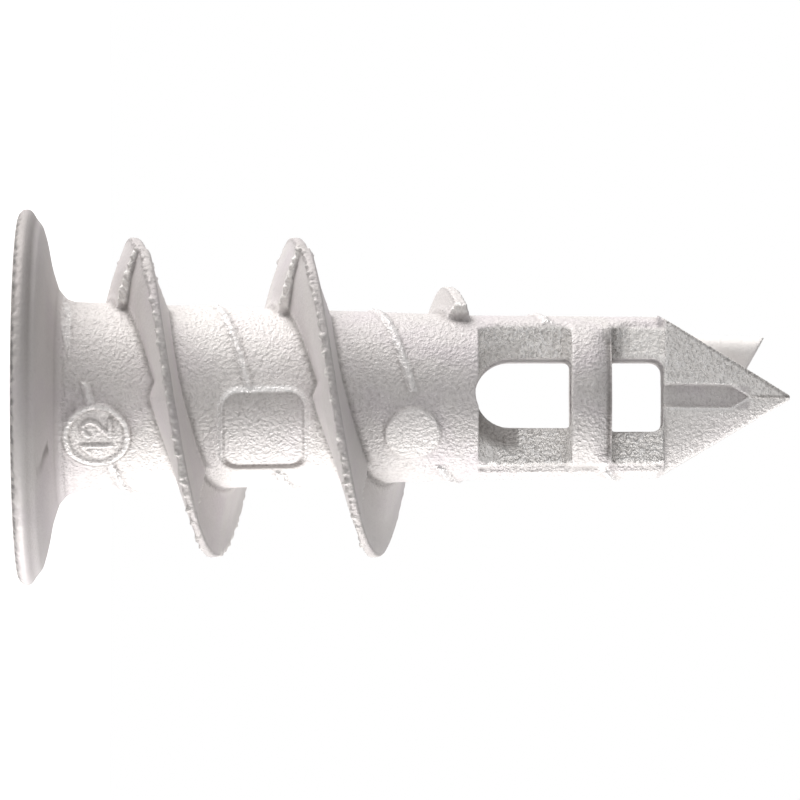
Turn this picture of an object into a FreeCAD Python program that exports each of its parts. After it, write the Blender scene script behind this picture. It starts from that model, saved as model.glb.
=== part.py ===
import FreeCAD
import Part
import math
import os

# A self-drilling plasterboard plug, cast in one piece. Sizes are in mm.
# The plug stands on its head: the flat face of the flange lies on z 0, the tip points up.
# The screw bore runs along Z. The two windows open along Y.
# Turn angles of the fin, the rib and the pads are in degrees about Z, from the X axis.

# overall
total_length = 31.0
tip_length = 5.13
flats_length = 7.44

# flange
flange_radius = 7.58
flange_edge = 0.24
rim_thickness = 0.68
rim_land = 0.34
rim_fall = 0.2
cone_foot_radius = 4.34
cone_foot_height = 1.59
neck_height = 2.3
neck_bend = 0.11
neck_bend_height = 1.93

# body
neck_radius = 3.84
waist_radius = 3.3
shoulder_radius = 3.24
shoulder_setback = 0.27
tip_radius = 0.1

# the four mould parts meet at these turns, and again half a turn further on
parting_turn = 25.0
middle_turn = 68.0
side_turn = 118.0
step_wide = 0.42
step_middle = 0.24
step_narrow = 0.14
step_drift = 0.16
step_lean = 9.0
step_crest = 0.13
back_step_root = 0.58
back_step_crest = 0.08
back_step_bend = 1.6
thin_length = 0.65

# main fin, right hand, one start
fin_pitch = 6.47
fin_height_at_zero = 1.23
fin_radius = 6.43
fin_root_width = 1.14
fin_crest_width = 0.3
fin_buried = 0.85
fin_clearance = 0.5
fin_rise_length = 50.0
fin_fade_length = 146.0
fin_end_radius = 4.0
fin_end_width = 0.6
section_turn = 11.0

# low rib between the turns of the fin, left out beside the pads
rib_lead = 0.5085
rib_start_turn = -95.3
rib_stop_turn = 268.3
rib_web_stop_turn = 212.0
rib_resume_turn = 328.0
rib_setback = 1.88
rib_width = 0.4
rib_crest_width = 0.16
rib_height = 0.15
rib_section_turn = 16.0

# raised pads on the side of the body
pad_height = 0.13
mark_pad_turn = 297.0
mark_pad_gap = 0.94
mark_pad_radius = 1.335
mark_rim_width = 0.2
mark_floor_share = 0.35
square_pad_turn = 295.2
square_pad_lead = 0.515
square_pad_size = 3.32
square_pad_depth = 3.24
square_pad_round = 0.66
plain_pad_turn = 298.0
plain_pad_gap = 2.63
plain_pad_radius = 1.11

# windows and the flats they stand in
web_thickness = 3.2
ramp_length = 1.2
ramp_rise = 0.32
ramp_bend_rise = 0.3
ramp_bend_length = 0.4
bar_width = 1.59
bar_setback = 2.13
bar_foot_round = 0.34
slot_half_width = 1.45
slot_narrow = 0.15
slot_overlap = 0.13
slot_setback = 0.05
slot_round = 0.24
slot_end_round = 0.46

# drill tip
blade_tip_thickness = 0.3
relief_width = 3.35
relief_step = 0.05
tool_overrun = 0.1
groove_half_width = 0.46
groove_depth = 0.26
groove_draft = 0.07
groove_overlap = 0.7
groove_straight_setback = 2.44
groove_setback = 1.7

# spur beside the tip
spur_front = 0.3
spur_thickness = 1.1
spur_reach = 2.63
spur_outer_setback = 1.0
spur_inner_setback = 1.75
spur_inner_reach = 1.15
spur_drop = 0.14
spur_round = 0.75

# screw bore and drive recess
bore_radius = 1.4
dish_radius = 2.5
dish_depth = 0.9
recess_half_length = 2.75
recess_foot_length = 1.5
recess_depth = 3.0
recess_width = 1.05
recess_foot_width = 0.7

# heights that follow from the lengths above
blade_start = total_length - tip_length
waist_height = blade_start - flats_length
shoulder_height = blade_start - shoulder_setback
bar_end = blade_start - bar_setback
bar_start = bar_end - bar_width
slot_start = waist_height - slot_overlap
slot_end = blade_start - slot_setback
groove_shoulder = total_length - groove_straight_setback
groove_point = total_length - groove_setback
mark_pad_at = neck_height + mark_pad_gap
square_pad_at = fin_height_at_zero + fin_pitch * (square_pad_turn / 360 + square_pad_lead)
plain_pad_at = waist_height - plain_pad_gap

# the fin runs between parting planes, up to the last one before the flats
# the rib ends a little before the drill tip
fin_start_turn = parting_turn + middle_turn
fin_room = (waist_height - fin_clearance - fin_height_at_zero) / fin_pitch * 360
fin_end_turn = parting_turn + 180 * math.floor((fin_room - parting_turn) / 180)
fin_fade_turn = fin_end_turn - fin_fade_length
rib_height_at_zero = fin_height_at_zero + fin_pitch * rib_lead
rib_end_turn = (blade_start - rib_setback - rib_height_at_zero) / fin_pitch * 360

# how far the cutting tools reach past the metal, and the share of a quarter arc's middle point
outside = neck_radius * 1.5
arc_middle = 1 - math.sqrt(0.5)


def at(radius, turn, height):
    angle = math.radians(turn)
    return FreeCAD.Vector(radius * math.cos(angle), radius * math.sin(angle), height)


def blend(first, last, share):
    return first + (last - first) * share


def polygon(points):
    return Part.makePolygon(points + [points[0]])


def prism(points, reach):
    return Part.Face(polygon(points)).extrude(reach)


def edges_along(shape, direction):
    found = []
    for edge in shape.Edges:
        if abs(edge.tangentAt(edge.FirstParameter).dot(direction)) > 0.9:
            found.append(edge)
    return found


def body_radius(height):
    # the taper has one slope up to the waist and another above it
    if height < waist_height:
        return blend(neck_radius, waist_radius, (height - neck_height) / (waist_height - neck_height))
    return blend(waist_radius, shoulder_radius, (height - waist_height) / (shoulder_height - waist_height))


def turned(edges):
    face = Part.Face(Part.Wire(edges))
    return face.revolve(FreeCAD.Vector(), FreeCAD.Vector(0, 0, 1), 360)


def line(a, b):
    return Part.makeLine(FreeCAD.Vector(a[0], 0, a[1]), FreeCAD.Vector(b[0], 0, b[1]))


def flanged_body():
    # the flange, its coned back, the hollow round its foot, the taper and the point
    profile = [
        (0, 0),
        (flange_radius - flange_edge, 0),
        (flange_radius, flange_edge),
        (flange_radius, rim_thickness - rim_fall),
        (flange_radius - rim_land, rim_thickness),
        (cone_foot_radius, cone_foot_height),
        (neck_radius + neck_bend, neck_bend_height),
        (neck_radius, neck_height),
        (waist_radius, waist_height),
        (shoulder_radius, shoulder_height),
        (tip_radius, total_length - tip_radius / 2),
        (0, total_length),
        (0, 0),
    ]
    return turned([line(a, b) for a, b in zip(profile, profile[1:])])


def fade(turn):
    # none along the full fin, one where it starts and ends
    rise = 1 - (turn - fin_start_turn) / fin_rise_length
    fall = 1 - (fin_end_turn - turn) / fin_fade_length
    return max(0, rise, fall)


def fin_section(turn, low_root, low_crest, high_root, high_crest):
    # one cut through the fin; the offsets thicken or thin its two flanks at the root and the crest
    height = fin_height_at_zero + fin_pitch * turn / 360
    outer = blend(fin_radius, fin_end_radius, fade(turn))
    surface = body_radius(height)
    inner = surface - fin_buried
    span = outer - surface
    root_width = blend(fin_root_width, fin_end_width, fade(turn))
    spread = (root_width - fin_crest_width) / 2

    def low(radius):
        width = fin_crest_width / 2 + spread * (outer - radius) / span
        return height - width + blend(low_root, low_crest, (radius - surface) / span)

    def high(radius):
        width = fin_crest_width / 2 + spread * (outer - radius) / span
        return height + width + blend(high_root, high_crest, (radius - surface) / span)

    return polygon([
        at(inner, turn, low(inner)),
        at(outer, turn, low(outer)),
        at(outer, turn, high(outer)),
        at(inner, turn, high(inner)),
    ])


def fin_offsets(kind, share):
    # how far the flanks stand off the even helix in each of the mould parts
    if kind == "low":
        return (blend(0, step_drift, share), 0, 0, 0)
    if kind == "high":
        left = (1 - share) ** back_step_bend
        return (blend(0, step_drift, share), 0, back_step_root * left, back_step_crest * left)
    if kind == "second":
        return (blend(-step_middle, -step_narrow, share), 0, 0, 0)
    thinned = max(0, 1 - share / thin_length)
    return (blend(-step_narrow, -step_wide, share), -step_crest * share, -step_wide * thinned, 0)


def fin_stretch(kind, first, last, start, stop):
    # the part of one mould stretch between two turns, as a smooth loft through its cuts
    count = max(2, math.ceil((stop - start) / section_turn) + 1)
    wires = []
    for index in range(count):
        turn = blend(start, stop, index / (count - 1))
        share = (turn - first) / (last - first)
        wires.append(fin_section(turn, *fin_offsets(kind, share)))
    return Part.makeLoft(wires, True, False)


def leaning_step(kind, first, last, start):
    # the end of a first stretch, where its low flank slants back to that of the second one
    share = (start - first) / (last - first)
    wires = [
        fin_section(start, *fin_offsets(kind, share)),
        fin_section(last, *fin_offsets("second", 0)),
    ]
    return Part.makeLoft(wires, True, False)


def fin_pieces():
    # each half turn has three stretches; the first one is thicker in every other half
    pieces = []
    base = parting_turn
    kinds = ["low", "high"]
    while base < fin_end_turn:
        middle = base + middle_turn
        lean = middle - step_lean
        side = base + side_turn
        limits = [
            (kinds[0], base, middle, lean),
            ("second", middle, side, side),
            ("side", side, base + 180, base + 180),
        ]
        for kind, first, last, stop in limits:
            if first < fin_start_turn:
                continue
            if first < fin_fade_turn < stop:
                pieces.append(fin_stretch(kind, first, last, first, fin_fade_turn))
                pieces.append(fin_stretch(kind, first, last, fin_fade_turn, stop))
            else:
                pieces.append(fin_stretch(kind, first, last, first, stop))
            if stop < last:
                pieces.append(leaning_step(kind, first, last, stop))
        base += 180
        kinds.reverse()
    return pieces


def rib_section(turn):
    height = rib_height_at_zero + fin_pitch * turn / 360
    surface = body_radius(height)
    foot = surface - rib_height * 2
    crest = surface + rib_height
    narrow = rib_crest_width / 2
    wide = narrow + (rib_width - rib_crest_width) / 2 * (crest - foot) / rib_height
    return polygon([
        at(foot, turn, height - wide),
        at(crest, turn, height - narrow),
        at(crest, turn, height + narrow),
        at(foot, turn, height + wide),
    ])


def rib_pieces():
    # one stretch for each turn, broken where the pads are and again in the flats
    pieces = []
    start = rib_start_turn
    past = 0
    while start < rib_end_turn:
        stop = rib_stop_turn + past
        if rib_height_at_zero + fin_pitch * stop / 360 > waist_height:
            stop = rib_web_stop_turn + past
        stop = min(stop, rib_end_turn)
        count = math.ceil((stop - start) / rib_section_turn)
        wires = [rib_section(blend(start, stop, step / count)) for step in range(count + 1)]
        rib = Part.makeLoft(wires, True, False)
        pieces.append(rib.cut(peg(mark_pad_at, mark_pad_turn, mark_pad_radius)))
        start = rib_resume_turn + past
        past += 360
    return pieces


def skin(extra):
    # the body taper made thicker by the height of a pad
    low = neck_height / 2
    profile = [
        (0, low),
        (neck_radius + extra, low),
        (neck_radius + extra, neck_height),
        (waist_radius + extra, waist_height),
        (0, waist_height),
        (0, low),
    ]
    return turned([line(a, b) for a, b in zip(profile, profile[1:])])


def peg(height, turn, radius):
    # a round bar that leaves the axis towards a pad
    return Part.makeCylinder(radius, outside, at(0, 0, height), at(1, turn, 0))


def square_peg():
    wide = square_pad_depth / 2
    high = square_pad_size / 2
    corners = [
        FreeCAD.Vector(0, -wide, -high),
        FreeCAD.Vector(0, wide, -high),
        FreeCAD.Vector(0, wide, high),
        FreeCAD.Vector(0, -wide, high),
    ]
    block = prism(corners, FreeCAD.Vector(outside, 0, 0))
    block = block.makeFillet(square_pad_round, edges_along(block, FreeCAD.Vector(1, 0, 0)))
    block.rotate(FreeCAD.Vector(), FreeCAD.Vector(0, 0, 1), square_pad_turn)
    block.translate(FreeCAD.Vector(0, 0, square_pad_at))
    return block


def pads():
    thick = skin(pad_height)
    ring = peg(mark_pad_at, mark_pad_turn, mark_pad_radius)
    hollow = peg(mark_pad_at, mark_pad_turn, mark_pad_radius - mark_rim_width)
    rim = thick.common(ring).cut(hollow)
    floor = skin(pad_height * mark_floor_share).common(ring)
    plain = thick.common(peg(plain_pad_at, plain_pad_turn, plain_pad_radius))
    return [rim, floor, thick.common(square_peg()), plain]


def flats():
    # the two flats the windows stand in, with a curved ramp at the end near the fin
    floor = web_thickness / 2
    ramp_top = floor + ramp_rise
    ramp_end = waist_height + ramp_length
    bend = (blend(floor, ramp_top, ramp_bend_rise), blend(waist_height, ramp_end, ramp_bend_length))
    foot = bar_foot_round * arc_middle
    tools = []
    for side in (-1, 1):
        def p(y, z):
            return FreeCAD.Vector(-outside, side * y, z)

        def straight(a, b):
            return Part.makeLine(p(a[0], a[1]), p(b[0], b[1]))

        def curve(a, b, c):
            return Part.Arc(p(a[0], a[1]), p(b[0], b[1]), p(c[0], c[1])).toShape()

        ramp_low = (floor, ramp_end)
        foot_low = (floor, bar_start - bar_foot_round)
        foot_high = (floor + bar_foot_round, bar_start)
        face = Part.Face(Part.Wire([
            straight((outside, waist_height), (ramp_top, waist_height)),
            curve((ramp_top, waist_height), bend, ramp_low),
            straight(ramp_low, foot_low),
            curve(foot_low, (floor + foot, bar_start - foot), foot_high),
            straight(foot_high, (outside, bar_start)),
            straight((outside, bar_start), (outside, waist_height)),
        ]))
        tools.append(face.extrude(FreeCAD.Vector(outside * 2, 0, 0)))
        corners = [p(floor, bar_end), p(outside, bar_end), p(outside, blade_start), p(floor, blade_start)]
        tools.append(prism(corners, FreeCAD.Vector(outside * 2, 0, 0)))
    return tools


def opening(left, right, start, stop, radius):
    # a straight hole along Y with its far corners rounded
    corners = [
        FreeCAD.Vector(left, -outside, start),
        FreeCAD.Vector(right, -outside, start),
        FreeCAD.Vector(right, -outside, stop),
        FreeCAD.Vector(left, -outside, stop),
    ]
    block = prism(corners, FreeCAD.Vector(0, outside * 2, 0))
    edges = [e for e in edges_along(block, FreeCAD.Vector(0, 1, 0)) if e.CenterOfMass.z > (start + stop) / 2]
    return block.makeFillet(radius, edges)


def windows():
    # two openings with the cross bar left between them; the first is narrower and has a round nose
    left = -slot_half_width
    right = slot_half_width - slot_narrow
    radius = (right - left) / 2
    middle = slot_start + radius
    back = FreeCAD.Vector((left + right) / 2, -outside, middle)
    nose = Part.makeCylinder(radius, outside * 2, back, FreeCAD.Vector(0, 1, 0))
    first = opening(left, right, middle, bar_start, slot_round)
    second = opening(left, slot_half_width, bar_end, slot_end, slot_end_round)
    return [nose, first, second]


def blade_edges():
    # square corners that carry the cutting faces out to the full width of the tip
    tip = total_length - tip_radius / 2
    root = web_thickness / 2
    corners = []
    for side in (-1, 1):
        corners.append(prism([
            FreeCAD.Vector(0, 0, shoulder_height),
            FreeCAD.Vector(side * shoulder_radius, 0, shoulder_height),
            FreeCAD.Vector(side * tip_radius, 0, tip),
            FreeCAD.Vector(0, 0, tip),
        ], FreeCAD.Vector(0, side * root, 0)))
    return corners


def blade_face(height):
    # how far the flat cutting face lies from the middle of the blade
    return blend(web_thickness / 2, blade_tip_thickness / 2, (height - blade_start) / tip_length)


def blade_tools():
    # the tip is a blade: on each side one half is a flat cutting face
    top = total_length + tool_overrun
    tools = []
    for side in (-1, 1):
        tools.append(prism([
            FreeCAD.Vector(0, side * blade_face(blade_start), blade_start),
            FreeCAD.Vector(0, side * blade_face(top), top),
            FreeCAD.Vector(0, side * outside, top),
            FreeCAD.Vector(0, side * outside, blade_start),
        ], FreeCAD.Vector(side * outside, 0, 0)))
    return tools


def ellipse_wire(height, wide, deep):
    edge = Part.Ellipse(FreeCAD.Vector(), wide, deep).toShape()
    edge.translate(FreeCAD.Vector(0, 0, height))
    return Part.Wire(edge)


def relief_tools():
    # the other half of each side falls away in a round, a small step below the cutting face
    top = total_length + tool_overrun
    low = blade_start - tool_overrun
    wires = []
    for height in (low, top):
        deep = blade_face(height) - relief_step
        wires.append(ellipse_wire(height, relief_width * deep / blade_face(blade_start), deep))
    cone = Part.makeLoft(wires, True, True)
    tools = []
    for side in (-1, 1):
        block = prism([
            FreeCAD.Vector(0, 0, blade_start),
            FreeCAD.Vector(0, 0, top),
            FreeCAD.Vector(0, side * outside, top),
            FreeCAD.Vector(0, side * outside, blade_start),
        ], FreeCAD.Vector(-side * outside, 0, 0))
        tools.append(block.cut(cone))
    return tools


def groove_outline(side, half_width, point, lift):
    # a pointed outline that lies the given distance above or below the cutting face
    shoulder = point - (groove_point - groove_shoulder) * half_width / groove_half_width
    corners = [
        (-half_width, blade_start - groove_overlap),
        (half_width, blade_start - groove_overlap),
        (half_width, shoulder),
        (0, point),
        (-half_width, shoulder),
    ]
    return polygon([FreeCAD.Vector(x, side * (blade_face(z) + lift), z) for x, z in corners])


def grooves():
    # a shallow pointed channel in the middle of each side of the blade, its walls drafted
    floor_half_width = groove_half_width - groove_draft
    tools = []
    for side in (-1, 1):
        floor = groove_outline(side, floor_half_width, groove_point - groove_draft, -groove_depth)
        rim = groove_outline(side, groove_half_width + groove_draft, groove_point + groove_draft, groove_depth)
        tools.append(Part.makeLoft([floor, rim], True, True))
    return tools


def spur():
    # a single pointed lug behind one side of the blade, its outer front edge rounded
    outer_end = total_length - spur_outer_setback
    inner_end = total_length - spur_inner_setback
    block = prism([
        FreeCAD.Vector(0, spur_front, blade_start),
        FreeCAD.Vector(-spur_reach, spur_front, blade_start),
        FreeCAD.Vector(-spur_reach + spur_drop, spur_front, outer_end),
        FreeCAD.Vector(-spur_inner_reach, spur_front, inner_end),
        FreeCAD.Vector(0, spur_front, inner_end),
    ], FreeCAD.Vector(0, spur_thickness, 0))
    outer = [e for e in block.Edges if e.CenterOfMass.x < spur_drop - spur_reach]
    front = min(outer, key=lambda e: e.CenterOfMass.y)
    return block.makeFillet(spur_round, [front])


def drive():
    # the screw bore, the dished mouth and the cross recess of the head
    bore = Part.makeCylinder(bore_radius, (bar_end + slot_end) / 2)
    dish = Part.makeCone(dish_radius, bore_radius, dish_depth)
    wires = []
    for height, length, width in (
        (0, recess_half_length, recess_width),
        (recess_depth, recess_foot_length, recess_foot_width),
    ):
        half = width / 2
        wires.append(polygon([
            FreeCAD.Vector(-length, -half, height),
            FreeCAD.Vector(length, -half, height),
            FreeCAD.Vector(length, half, height),
            FreeCAD.Vector(-length, half, height),
        ]))
    wing = Part.makeLoft(wires, True, True)
    other = wing.copy()
    other.rotate(FreeCAD.Vector(), FreeCAD.Vector(0, 0, 1), 90)
    return [bore, dish, wing, other]


solid = flanged_body()
for added in (blade_edges(), fin_pieces(), rib_pieces(), pads()):
    solid = solid.multiFuse(added)
for removed in (flats(), windows(), blade_tools(), relief_tools(), grooves()):
    solid = solid.cut(removed)
solid = solid.fuse(spur()).cut(drive())
if len(solid.Solids) != 1:
    raise RuntimeError("the plug has to be one solid")
os.makedirs("parts", exist_ok=True)
solid.Solids[0].exportStep("parts/plug.step")
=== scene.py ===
import math
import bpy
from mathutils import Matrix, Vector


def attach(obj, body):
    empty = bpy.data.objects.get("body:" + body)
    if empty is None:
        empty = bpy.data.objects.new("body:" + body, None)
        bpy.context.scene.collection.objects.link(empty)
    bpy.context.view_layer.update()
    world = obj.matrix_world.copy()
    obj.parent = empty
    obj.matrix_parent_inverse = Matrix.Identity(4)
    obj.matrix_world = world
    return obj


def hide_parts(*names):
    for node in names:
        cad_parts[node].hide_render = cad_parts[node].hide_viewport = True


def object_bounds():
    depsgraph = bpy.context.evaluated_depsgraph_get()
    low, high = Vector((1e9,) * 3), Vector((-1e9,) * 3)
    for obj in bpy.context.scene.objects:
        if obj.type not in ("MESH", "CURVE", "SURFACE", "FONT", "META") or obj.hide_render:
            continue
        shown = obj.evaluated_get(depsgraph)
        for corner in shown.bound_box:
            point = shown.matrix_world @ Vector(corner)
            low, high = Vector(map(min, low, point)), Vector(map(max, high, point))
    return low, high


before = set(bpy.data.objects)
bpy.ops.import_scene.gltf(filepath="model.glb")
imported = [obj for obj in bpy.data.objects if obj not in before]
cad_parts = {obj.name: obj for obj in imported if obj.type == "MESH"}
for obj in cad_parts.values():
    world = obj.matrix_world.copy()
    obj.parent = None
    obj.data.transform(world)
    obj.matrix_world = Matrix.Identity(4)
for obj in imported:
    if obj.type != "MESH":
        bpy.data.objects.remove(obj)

from types import SimpleNamespace

import bpy
import numpy as np
from bpy.props import FloatProperty, FloatVectorProperty, IntProperty, PointerProperty
from mathutils import Matrix, Vector, noise

bl_info = {
    "name": "Plasterboard plug",
    "version": (1, 0, 0),
    "blender": (4, 5, 0),
    "location": "View3D > Sidebar > Plug",
    "description": "Dresses the cast plasterboard plug and sets up its studio",
    "category": "Object",
}

MM = 0.001
CAD_LOW, CAD_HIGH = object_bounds()
CAST_NODE = "plug"
PIECE_TRIANGLES = 200000

# the casting's bands, each with the height in millimetres at which it ends
BANDS = {
    "casting_flange": 2.0,
    "casting_low": 8.0,
    "casting_high": 14.0,
    "casting_waist": 20.0,
    "casting_tip": math.inf,
}

# places and widths on the casting, in millimetres; no distance that is worked out is as long as FAR
FIN_START = 1.6
SECOND_TURN = 11.0
RIM_START = 7.3
KNUCKLE_RADII = (5.0, 6.7, 6.85, 7.3)
BODY_LIGHT_HEIGHTS = (2.5, 6.0, 11.5, 14.5)
# heights over which the body between the fins is painted lighter
FLAT_CORNER_OUT = 2.65
TILT_START = 1.3
SKIRT_END = 0.5
FLASH_LUMP = 0.22
DIGIT_SIZE = 1.12
CREASE_WIDTH = 0.09
CREASE_DEPTH = 0.05
FAR = 9.0
TINY = 1e-6

# the crease in the flange's back, as radii in millimetres and turns in degrees
CREASE_ROUTE = [(4.96, 296), (5.49, 297.4), (5.91, 299.3), (6.69, 299.4)]
BURR_SEED = 3

# the sockets of a Mix node that mixes colours: share, first and second colour, and the result
COLOUR_MIX_INPUTS = (0, 6, 7)
COLOUR_MIX_OUTPUT = 2

# the studio's floor, its whites and the camera's range
FLOOR_GAP = 0.02 * MM
FLOOR_SIDES = 128
FLOOR_GLOW = 0.9
PAPER = (0.9, 0.9, 0.9, 1.0)
WHITE = (1.0, 1.0, 1.0, 1.0)
CLIP_RANGE = (0.01, 10)


# sizes and colours that a user would change

def length(name, description, default):
    """A length, its default given in millimetres."""
    return FloatProperty(
        name=name, description=description, default=default * MM, unit="LENGTH", precision=6,
    )


def angle(name, description, default):
    """An angle, its default given in degrees."""
    return FloatProperty(
        name=name, description=description, default=math.radians(default), subtype="ANGLE",
    )


def colour(name, description, default):
    """A colour, its default given as red, green and blue from 0 to 1."""
    return FloatVectorProperty(
        name=name, description=description, default=default, subtype="COLOR", min=0, max=1,
    )


class CastSizes(bpy.types.PropertyGroup):
    voxel: length("Mesh grain", "Width of the smallest detail that the cast mesh holds", 0.07)
    neck_radius: length("Neck radius", "Body radius where it leaves the flange", 3.84)
    waist_radius: length("Waist radius", "Body radius where the flats start", 3.3)
    shoulder_radius: length("Shoulder radius", "Body radius at the foot of the drill tip", 3.24)
    neck_height: length("Neck height", "Height at which the hollow of the flange ends", 2.3)
    waist_height: length("Waist height", "Height at which the flats start", 18.43)
    shoulder_height: length("Shoulder height", "Height at which the body starts to narrow to the tip", 25.6)
    fin_radius: length("Fin radius", "Radius of the full fin", 6.43)
    fin_pitch: length("Fin pitch", "Rise of the fin in one turn", 6.47)
    fin_height_at_zero: length("Fin height at zero", "Height of the fin's middle at turn 0", 1.23)
    rib_lead: FloatProperty(
        name="Rib lead", description="Share of the pitch by which the low rib lies ahead of the fin",
        default=0.5085, min=0, max=1,
    )
    pad_height: length("Pad height", "How far the pads stand proud of the body", 0.13)
    mark_turn: angle("Mark turn", "Turn of the ringed mark about the axis", 297)
    mark_height: length("Mark height", "Height of the ringed mark's centre", 3.24)
    mark_radius: length("Mark radius", "Radius of the ringed mark", 1.335)
    square_turn: angle("Square pad turn", "Turn of the square pad about the axis", 295.2)
    square_height: length("Square pad height", "Height of the square pad's centre", 9.87)
    square_size: length("Square pad size", "Length of the square pad along the body", 3.32)
    square_depth: length("Square pad depth", "Straight width of the square pad across the body", 3.24)
    square_round: length("Square pad corner", "Radius of the square pad's corners", 0.66)
    plain_turn: angle("Plain pad turn", "Turn of the plain round pad about the axis", 298)
    plain_height: length("Plain pad height", "Height of the plain round pad's centre", 15.8)
    plain_radius: length("Plain pad radius", "Radius of the plain round pad", 1.11)
    nose_height: length("Nose height", "Height of the centre of the first window's round end", 19.83)
    nose_radius: length("Nose radius", "Radius of the first window's round end", 1.375)
    groove_half: length("Groove half width", "Half the width of the groove in the drill tip", 0.46)
    groove_shoulder: length("Groove shoulder", "Height at which the tip's groove starts to narrow", 28.56)
    groove_point: length("Groove point", "Height at which the tip's groove ends", 29.3)
    bar_low: length("Bar start", "Height at which the bar between the windows starts", 22.1)
    bar_high: length("Bar end", "Height at which the bar between the windows ends", 23.63)
    web_half: length("Web half thickness", "Distance of the window flats from the axis", 1.6)


class CastRelief(bpy.types.PropertyGroup):
    crest_lumps: length("Crest lumps", "Height of the lumps of flash along the fin's crest", 0.21)
    rim_lumps: length("Rim lumps", "Height of the ragged flash at the flange's outer edge", 0.06)
    knuckle: length("Flange knuckle", "How far the flange's back bulges near its rim", 0.145)
    pad_draft: length("Pad draft", "Width of the slope round the top of the square pad", 0.14)
    pad_skirt: length("Pad skirt", "How far the skin rises towards the foot of each pad", 0.04)
    flat_tilt: FloatProperty(
        name="Flat tilt", description="Slope of the flats beside the windows, as the mould's draft leaves it",
        default=0.15, min=0,
    )
    bar_fall: length("Bar fall", "How far the bar between the windows falls away towards the tip", 0.4)
    rib_lumps: length("Rib lumps", "Height of the lumps along the low rib", 0.05)
    step_roughness: length("Step roughness", "Depth of the torn surface where the mould parts met", 0.14)
    digit_height: length("Digit height", "How far the cast number stands proud", 0.07)
    skin_unevenness: length("Skin unevenness", "Depth of the soft waves in the cast skin", 0.012)
    seed: IntProperty(name="Seed", description="Start of the noise that makes the lumps", default=7, min=0)


class ZincFinish(bpy.types.PropertyGroup):
    light: colour("Zinc", "Colour of the open cast skin", (0.66, 0.63, 0.62))
    # painted shade: the colour mixed in where shade falls, in hollows, corners and the pits of the grain
    shade: colour("Zinc in hollows", "Colour of the skin in corners and pits", (0.2, 0.18, 0.17))
    bloom: colour(
        "Bloom", "Faint violet cast of the patches where the skin cooled first", (0.645, 0.597, 0.617),
    )
    # painted highlight: the colour put on the high places of the grain and sand
    grain_highlight: colour("Fleck", "Colour of the bright tops of the grains", (0.98, 0.96, 0.95))
    # painted highlight: the colour put on edges and bright lines
    edge_highlight: colour("Worn edge", "Colour of edges that are rubbed bright", (0.93, 0.91, 0.9))
    metallic: FloatProperty(
        name="Metallic", description="How much the skin reflects as bare metal",
        default=0.2, subtype="FACTOR", min=0, max=1,
    )
    roughness: FloatProperty(
        name="Roughness", description="Roughness of the open cast skin",
        default=0.62, subtype="FACTOR", min=0, max=1,
    )
    # painted light: the colour put where the skin is made paler to stand in for light
    painted_light_colour: colour(
        "Flats", "Colour of the coarse grain in the pockets and on the tip", (0.95, 0.92, 0.895),
    )
    burr: colour("Burr", "Colour of the ragged edge round the flange's face", (0.2, 0.195, 0.19))
    grain_size: length("Grain size", "Width of one grain of the fine cast skin", 0.13)
    grain_depth: length("Grain depth", "Depth of the fine grain", 0.075)
    sand_size: length(
        "Coarse grain size", "Width of the coarse sandy grain in the pockets and on the tip", 0.15,
    )
    sand_depth: length("Coarse grain depth", "Depth of the coarse sandy grain", 0.3)
    patch_size: length("Patch size", "Width of the patches where the skin cooled first", 3.2)
    scuff_size: length("Scuff size", "Width of the scuffs that change the skin's roughness", 0.6)


class StudioSet(bpy.types.PropertyGroup):
    camera_distance: length("Camera distance", "From the camera to the plug's axis", 285)
    frame_width: length("Frame width", "Width of the view at the plug's axis", 32.16)
    frame_low: length(
        "Frame start", "Height on the plug at the left edge of the view, below the flange", -0.784,
    )
    frame_drop: length("Frame drop", "How far the view's centre lies below the plug's axis", 0.1)
    frame_turn: angle("Frame turn", "Turn about the axis that points up in the view", 183)
    key_power: FloatProperty(
        name="Key power", description="Power of the soft lamp at the upper side of the view",
        default=0.72, unit="POWER",
    )
    fill_power: FloatProperty(
        name="Fill power", description="Power of the soft lamp at the lower side of the view",
        default=0.8, unit="POWER",
    )
    key_colour: colour("Key colour", "Colour of the upper lamp", (1.0, 0.985, 0.97))
    fill_colour: colour("Fill colour", "Colour of the lower lamp", (1.0, 0.99, 0.98))
    lamp_distance: length("Lamp distance", "From each lamp to the plug", 250)
    lamp_size: length("Lamp size", "Width of each soft lamp", 200)
    world_strength: FloatProperty(
        name="Room light", description="Strength of the light from all round", default=0.68, min=0,
    )
    room_fall: FloatProperty(
        name="Room fall", description="How much darker the room is straight above the plug's tip",
        default=0.75, subtype="FACTOR", min=0, max=1,
    )
    floor_radius: length("Floor radius", "Radius of the pale floor", 90)


# shader nodes written as expressions

class Socket:
    """A node's output that can be added, subtracted and multiplied; each step adds its Math node."""

    def __init__(self, shader, output):
        self.shader = shader
        self.output = output

    def math(self, operation, *values):
        return self.shader.node("ShaderNodeMath", {"operation": operation}, dict(enumerate(values)))

    def __add__(self, other):
        return self.math("ADD", self, other)

    def __radd__(self, other):
        return self.math("ADD", other, self)

    def __sub__(self, other):
        return self.math("SUBTRACT", self, other)

    def __rsub__(self, other):
        return self.math("SUBTRACT", other, self)

    def __mul__(self, other):
        return self.math("MULTIPLY", self, other)

    def __rmul__(self, other):
        return self.math("MULTIPLY", other, self)

    def clamped(self):
        return self.math("MAXIMUM", self.math("MINIMUM", self, 1.0), 0.0)


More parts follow.
